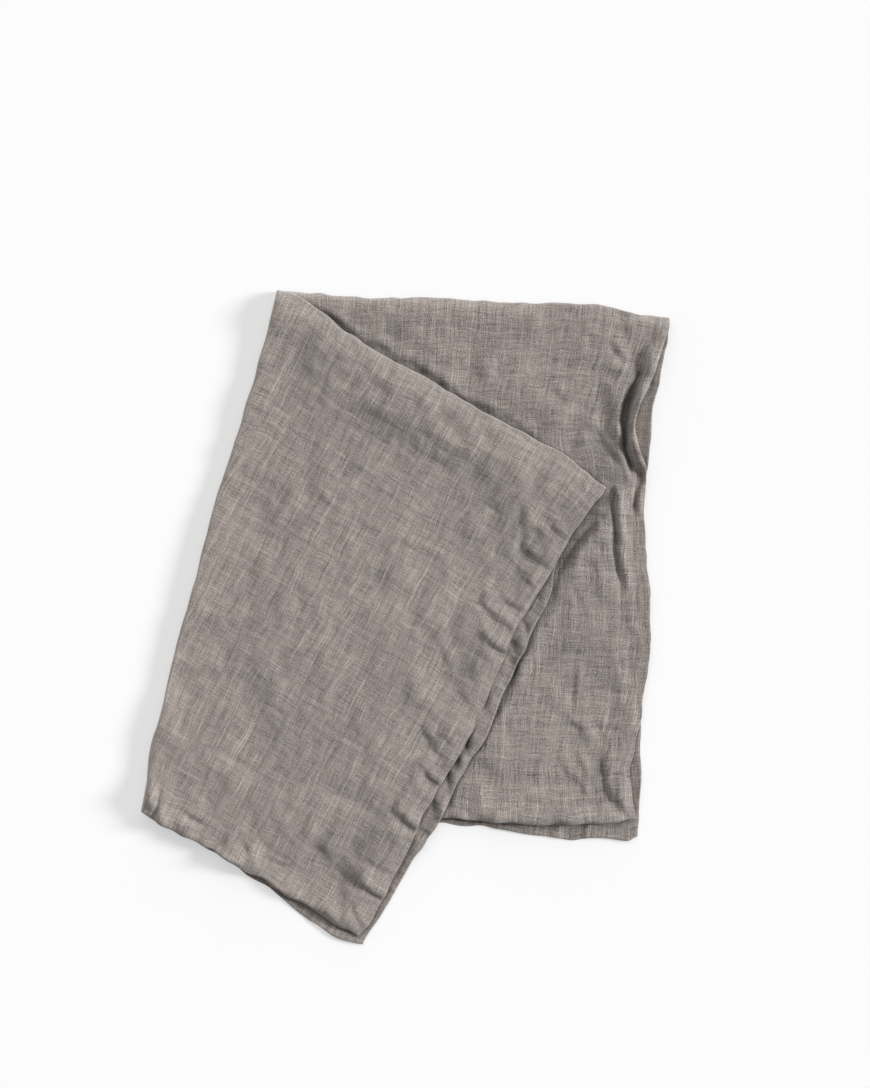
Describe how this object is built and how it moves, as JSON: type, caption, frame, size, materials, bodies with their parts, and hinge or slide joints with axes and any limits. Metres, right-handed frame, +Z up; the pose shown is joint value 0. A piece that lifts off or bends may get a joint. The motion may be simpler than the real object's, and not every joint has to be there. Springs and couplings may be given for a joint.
{
  "type": "tea towel",
  "caption": "Washed linen tea towel with turned hems, folded in half and then over along a slant, lying flat to dry dishes or dress a table.",
  "frame": {"origin": "on the surface it lies on, under the middle of the folded towel's bounding box", "axes": "+Z up from the surface, +Y along the towel's length towards the top fold, +X towards the side hem of the rear panel"},
  "size_m": [0.343, 0.4252, 0.0126],
  "materials": {
    "linen": "washed plain-weave linen, matt, warm grey"
  },
  "bodies": {
    "root": {"towel": "linen"}
  },
  "joints": []
}
